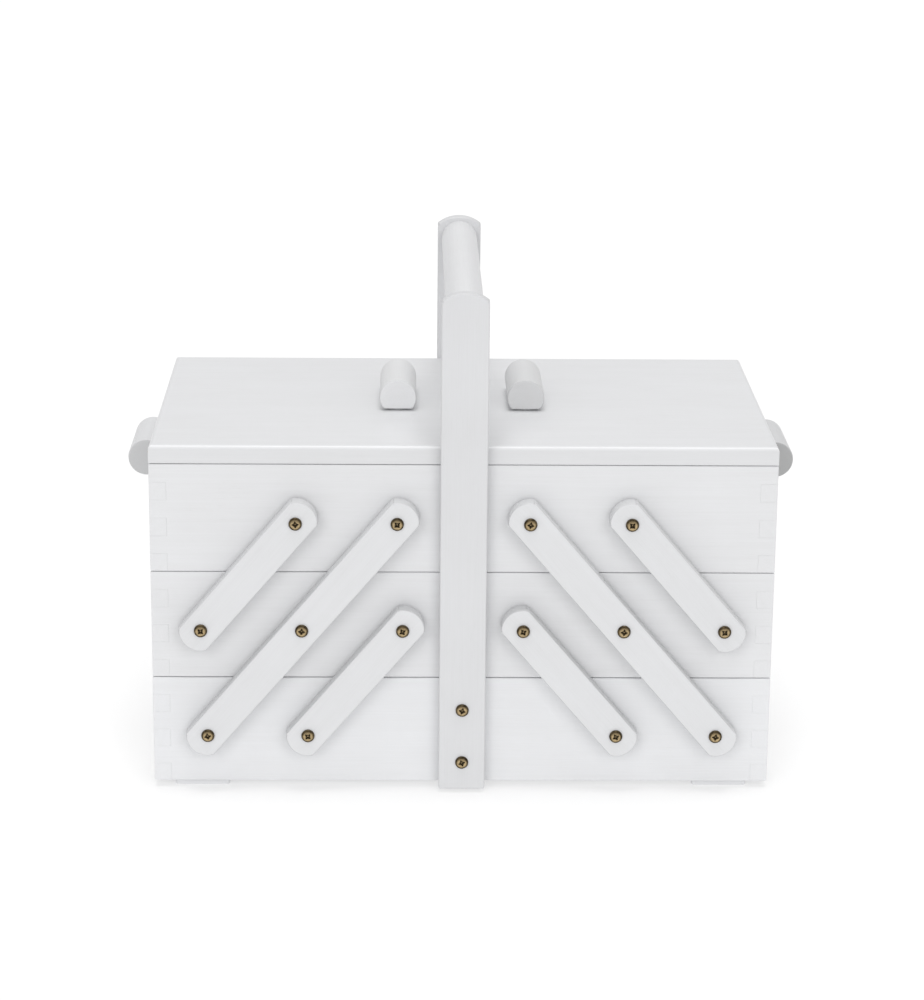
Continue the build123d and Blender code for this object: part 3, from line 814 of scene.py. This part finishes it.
# ---- hinges ---------------------------------------------------------------------------------
def hinge_half(side_sign, pin, half, ends):
    """Leaves and rolled knuckles of the two hinges, of the tray (1) or the lid (-1).

    A knuckle's outline is the convex hull of its barrel and of a small arc at the leaf's edge,
    carried along the pin.
    """
    tail = Vector((LEAF_NEAR - LEAF_THICKNESS / 2 + KNUCKLE_TAIL, -LEAF_GAP - LEAF_THICKNESS / 2))
    slant = math.degrees(math.atan2(tail.y, tail.x))
    spread = math.degrees(math.acos((BARREL_RADIUS - LEAF_THICKNESS / 2) / tail.length))
    outline_arcs = [
        (tail.x, tail.y, LEAF_THICKNESS / 2, slant - spread, slant + spread),
        (0, 0, BARREL_RADIUS, slant + spread, slant - spread + 360),
    ]
    pitch = HINGE_LENGTH / KNUCKLES
    own = range(0, KNUCKLES, 2) if half > 0 else range(1, KNUCKLES, 2)
    surfaces = []
    for end in ends:
        inward = -side_sign * (LEAF_NEAR + LEAF_REACH) / 2
        leaf_z = pin.z - half * (LEAF_GAP + LEAF_THICKNESS / 2) - LEAF_THICKNESS / 2
        leaf_place = placed((pin.x + inward, end, leaf_z), X, Z)
        leaf_arcs = rectangle(LEAF_REACH - LEAF_NEAR, HINGE_LENGTH, LEAF_CORNER)
        surfaces.append(plate(leaf_arcs, LEAF_THICKNESS, LEAF_EDGE, LEAF_EDGE, leaf_place,
                              LEAF_PATINA))
        for step in own:
            centre = end - HINGE_LENGTH / 2 + (step + 0.5) * pitch
            along = Y * side_sign * half
            length = pitch - KNUCKLE_GAP
            start = Vector((pin.x, centre, pin.z)) - along * length / 2
            place = placed(start, X * -side_sign, along)
            surfaces.append(plate(outline_arcs, length, KNUCKLE_EDGE, KNUCKLE_EDGE, place,
                                  KNUCKLE_PATINA))
    return surfaces


for side, sign in SIDES:
    pin, ends = hinge_places(side)
    make_piece(f"{side}_hinge_tray_half", hinge_half(sign, pin, 1, ends), hinge_brass,
               f"{side}_top_tray", [f"{side}_hinge_tray_leaves"])
    make_piece(f"{side}_hinge_lid_half", hinge_half(sign, pin, -1, ends), hinge_brass,
               f"{side}_lid", [f"{side}_hinge_lid_leaves"])
    pin_profile = (
        [(0, 0)] + rounded_corner(PIN_RADIUS, 0, PIN_EDGE, True)
        + rounded_corner(PIN_RADIUS, HINGE_LENGTH, PIN_EDGE, False) + [(0, HINGE_LENGTH)]
    )
    rods = [
        turned(pin_profile, placed((pin.x, end - HINGE_LENGTH / 2, pin.z), X, Y), 24)
        for end in ends
    ]
    make_piece(f"{side}_hinge_pins_brass", rods, hinge_brass, f"{side}_top_tray",
               [f"{side}_hinge_pins"])


# ---- camera, light and floor ----------------------------------------------------------------
def look(position, pitch, yaw, roll, lens):
    """Camera by its position and its pitch down, yaw and roll, in degrees."""
    camera = bpy.data.cameras.new("camera")
    camera.lens, camera.sensor_width, camera.sensor_fit = lens, 36, "AUTO"
    camera.clip_end = 100
    holder = bpy.data.objects.new("camera", camera)
    turn = (
        Matrix.Rotation(math.radians(-yaw), 4, "Z")
        @ Matrix.Rotation(math.radians(90 - pitch), 4, "X")
        @ Matrix.Rotation(math.radians(roll), 4, "Z")
    )
    holder.matrix_world = Matrix.Translation(position) @ turn
    bpy.context.scene.collection.objects.link(holder)
    bpy.context.scene.camera = holder


look(position=(-0.0412, -2.1199, 0.7998), pitch=16.38, yaw=1.15, roll=0.534, lens=106.67)

HALF_FLOOR = 20.0
FLOOR_GREY, FLOOR_GLOW = 0.5, 0.47
floor_mesh = bpy.data.meshes.new("floor")
corners = [(i * HALF_FLOOR, j * HALF_FLOOR, 0) for i, j in ((-1, -1), (1, -1), (1, 1), (-1, 1))]
floor_mesh.from_pydata(corners, [], [(0, 1, 2, 3)])
floor = bpy.data.objects.new("floor", floor_mesh)
bpy.context.scene.collection.objects.link(floor)
floor_material, _, floor_shader = blank_material("pale_floor")
floor_shader.inputs["Base Color"].default_value = (FLOOR_GREY, FLOOR_GREY, FLOOR_GREY, 1)
floor_shader.inputs["Roughness"].default_value = 0.8
floor_shader.inputs["Emission Color"].default_value = (1, 1, 1, 1)
floor_shader.inputs["Emission Strength"].default_value = FLOOR_GLOW
floor_mesh.materials.append(floor_material)

# Name, direction round the box, height above the floor in degrees, strength and whether it
# shows as a gleam, for each light.
LIGHTS = (("soft_key_left", -25, 25, 0.64, False), ("soft_key_right", 25, 25, 0.56, False),
          ("soft_top", 0, 89, 1.31, True), ("soft_back", 180, 25, 0.45, False))
LIGHT_SPREAD = math.radians(32)
for name, turn, height, strength, gleam in LIGHTS:
    key = bpy.data.lights.new(name, "SUN")
    key.energy, key.angle = strength, LIGHT_SPREAD
    holder = bpy.data.objects.new(name, key)
    holder.visible_glossy = gleam
    rise, around = math.radians(height), math.radians(turn)
    level = math.cos(rise)
    toward = Vector((-math.sin(around) * level, math.cos(around) * level, -math.sin(rise)))
    holder.rotation_euler = toward.to_track_quat("-Z", "Y").to_euler()
    bpy.context.scene.collection.objects.link(holder)
world = bpy.data.worlds.new("studio")
world.use_nodes = True
sky = world.node_tree.nodes["Background"]
sky.inputs["Color"].default_value = (1, 1, 1, 1)
# The air gives a half-strength light all round and looks as white as the floor.
AIR_LIGHT = 0.5
seen = add_node(world.node_tree, "ShaderNodeLightPath").outputs["Is Camera Ray"]
air = math_node(world.node_tree, "MAXIMUM", seen, AIR_LIGHT)
world.node_tree.links.new(air, sky.inputs["Strength"])
bpy.context.scene.world = world
bpy.context.scene.view_settings.view_transform = "Standard"
